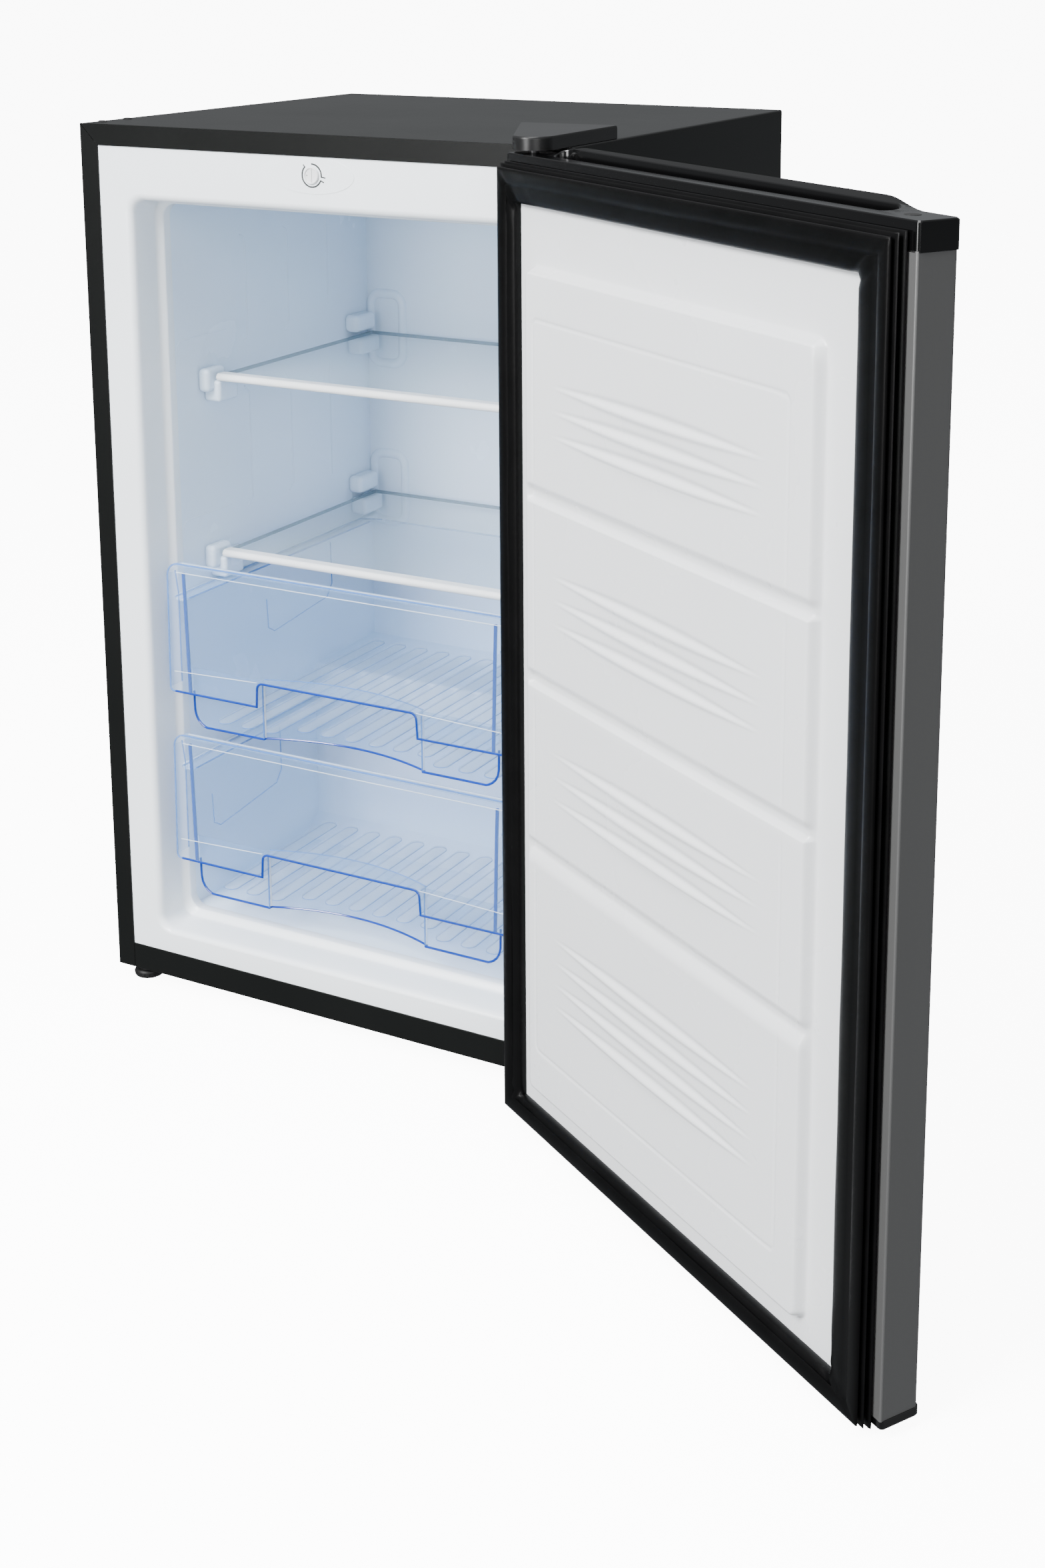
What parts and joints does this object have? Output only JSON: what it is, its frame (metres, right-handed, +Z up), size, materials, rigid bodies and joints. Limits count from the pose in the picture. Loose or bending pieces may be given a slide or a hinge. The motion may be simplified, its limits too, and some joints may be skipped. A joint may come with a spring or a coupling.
{
  "type": "under-counter upright freezer",
  "caption": "Black under-counter upright freezer with a right-hinged swing door, magnetic gasket, glass shelves and clear drawers in a white foamed cabinet.",
  "frame": {"origin": "centre of the cabinet's footprint, on the floor that the feet stand on", "axes": "+Z up, +X to the right as seen from the front, +Y from the front to the back"},
  "size_m": [0.9047, 0.7389, 0.841],
  "materials": {
    "cabinet_steel": "satin",
    "rear_steel": "satin",
    "zinc_sheet": "satin",
    "liner_white": "satin",
    "dial_white": "satin",
    "foam": "matte",
    "aluminium_tube": "satin",
    "device_plastic": "satin",
    "hinge_steel": "satin",
    "pin_steel": "polished",
    "black_plastic": "satin",
    "foot_plastic": "matte",
    "bush_nylon": "satin",
    "compressor_paint": "gloss",
    "black_rubber": "matte",
    "gasket_rubber": "satin",
    "magnet": "matte",
    "unit_plastic": "matte",
    "copper": "satin",
    "condenser_paint": "satin",
    "shelf_glass": "gloss",
    "trim_white": "satin",
    "drawer_clear": "gloss",
    "door_steel": "satin"
  },
  "bodies": {
    "cabinet": {"outer_shell": "cabinet_steel", "front_rail": "cabinet_steel", "rear_panel": "rear_steel", "compressor_plate": "rear_steel", "base_panel": "zinc_sheet", "niche_panel": "zinc_sheet", "inner_liner": "liner_white", "thermostat_panel": "liner_white", "cabinet_foam": "foam", "evaporator_tube": "aluminium_tube", "thermostat_body": "device_plastic", "top_hinge_bracket": "hinge_steel", "bottom_hinge_bracket": "hinge_steel", "top_hinge_pin": "pin_steel", "bottom_hinge_pin": "pin_steel", "top_hinge_screws": "pin_steel", "bottom_hinge_screws": "pin_steel", "compressor_bolts": "pin_steel", "top_hinge_cover": "black_plastic", "hinge_hole_plugs": "black_plastic", "rear_feet": "foot_plastic", "compressor": "compressor_paint", "compressor_grommets": "black_rubber", "cable_gland": "black_rubber", "terminal_cover": "unit_plastic", "evaporation_tray": "unit_plastic", "condenser_brackets": "unit_plastic", "filter_drier": "copper", "suction_pipe": "copper", "discharge_pipe": "copper", "condenser_tube": "condenser_paint", "condenser_wires": "condenser_paint"},
    "door": {"door_skin": "door_steel", "door_top_cap": "black_plastic", "door_bottom_cap": "black_plastic", "door_foam": "foam", "door_liner": "liner_white", "door_gasket": "gasket_rubber", "gasket_magnets": "magnet", "door_cap_plug": "black_plastic", "upper_hinge_bush": "bush_nylon", "lower_hinge_bush": "bush_nylon"},
    "knob": {"knob": "dial_white"},
    "shelf_upper": {"shelf_upper_glass": "shelf_glass", "shelf_upper_trim": "trim_white"},
    "shelf_lower": {"shelf_lower_glass": "shelf_glass", "shelf_lower_trim": "trim_white"},
    "drawer_upper": {"drawer_upper": "drawer_clear"},
    "drawer_lower": {"drawer_lower": "drawer_clear"},
    "foot_left": {"foot_left": "foot_plastic"},
    "foot_right": {"foot_right": "foot_plastic"}
  },
  "joints": [
    {"name": "door_hinge", "type": "hinge", "parent": "cabinet", "child": "door", "pos_m": [0.232, -0.246, 0.42], "axis": [0, 0, 1], "range_deg": [-149, 6]},
    {"name": "drawer_upper_slide", "type": "slide", "parent": "cabinet", "child": "drawer_upper", "axis": [0, -1, 0], "range_m": [0, 0.28]},
    {"name": "drawer_lower_slide", "type": "slide", "parent": "cabinet", "child": "drawer_lower", "axis": [0, -1, 0], "range_m": [0, 0.2]},
    {"name": "shelf_upper_slide", "type": "slide", "parent": "cabinet", "child": "shelf_upper", "axis": [0, -1, 0], "range_m": [0, 0.2]},
    {"name": "shelf_lower_slide", "type": "slide", "parent": "cabinet", "child": "shelf_lower", "axis": [0, -1, 0], "range_m": [0, 0.06]},
    {"name": "thermostat_turn", "type": "hinge", "parent": "cabinet", "child": "knob", "pos_m": [0, -0.2175, 0.795], "axis": [0, -1, 0], "range_deg": [-140, 140]},
    {"name": "foot_left_screw", "type": "slide", "parent": "cabinet", "child": "foot_left", "axis": [0, 0, 1], "range_m": [0, 0.004]},
    {"name": "foot_right_screw", "type": "slide", "parent": "cabinet", "child": "foot_right", "axis": [0, 0, 1], "range_m": [0, 0.004]}
  ]
}
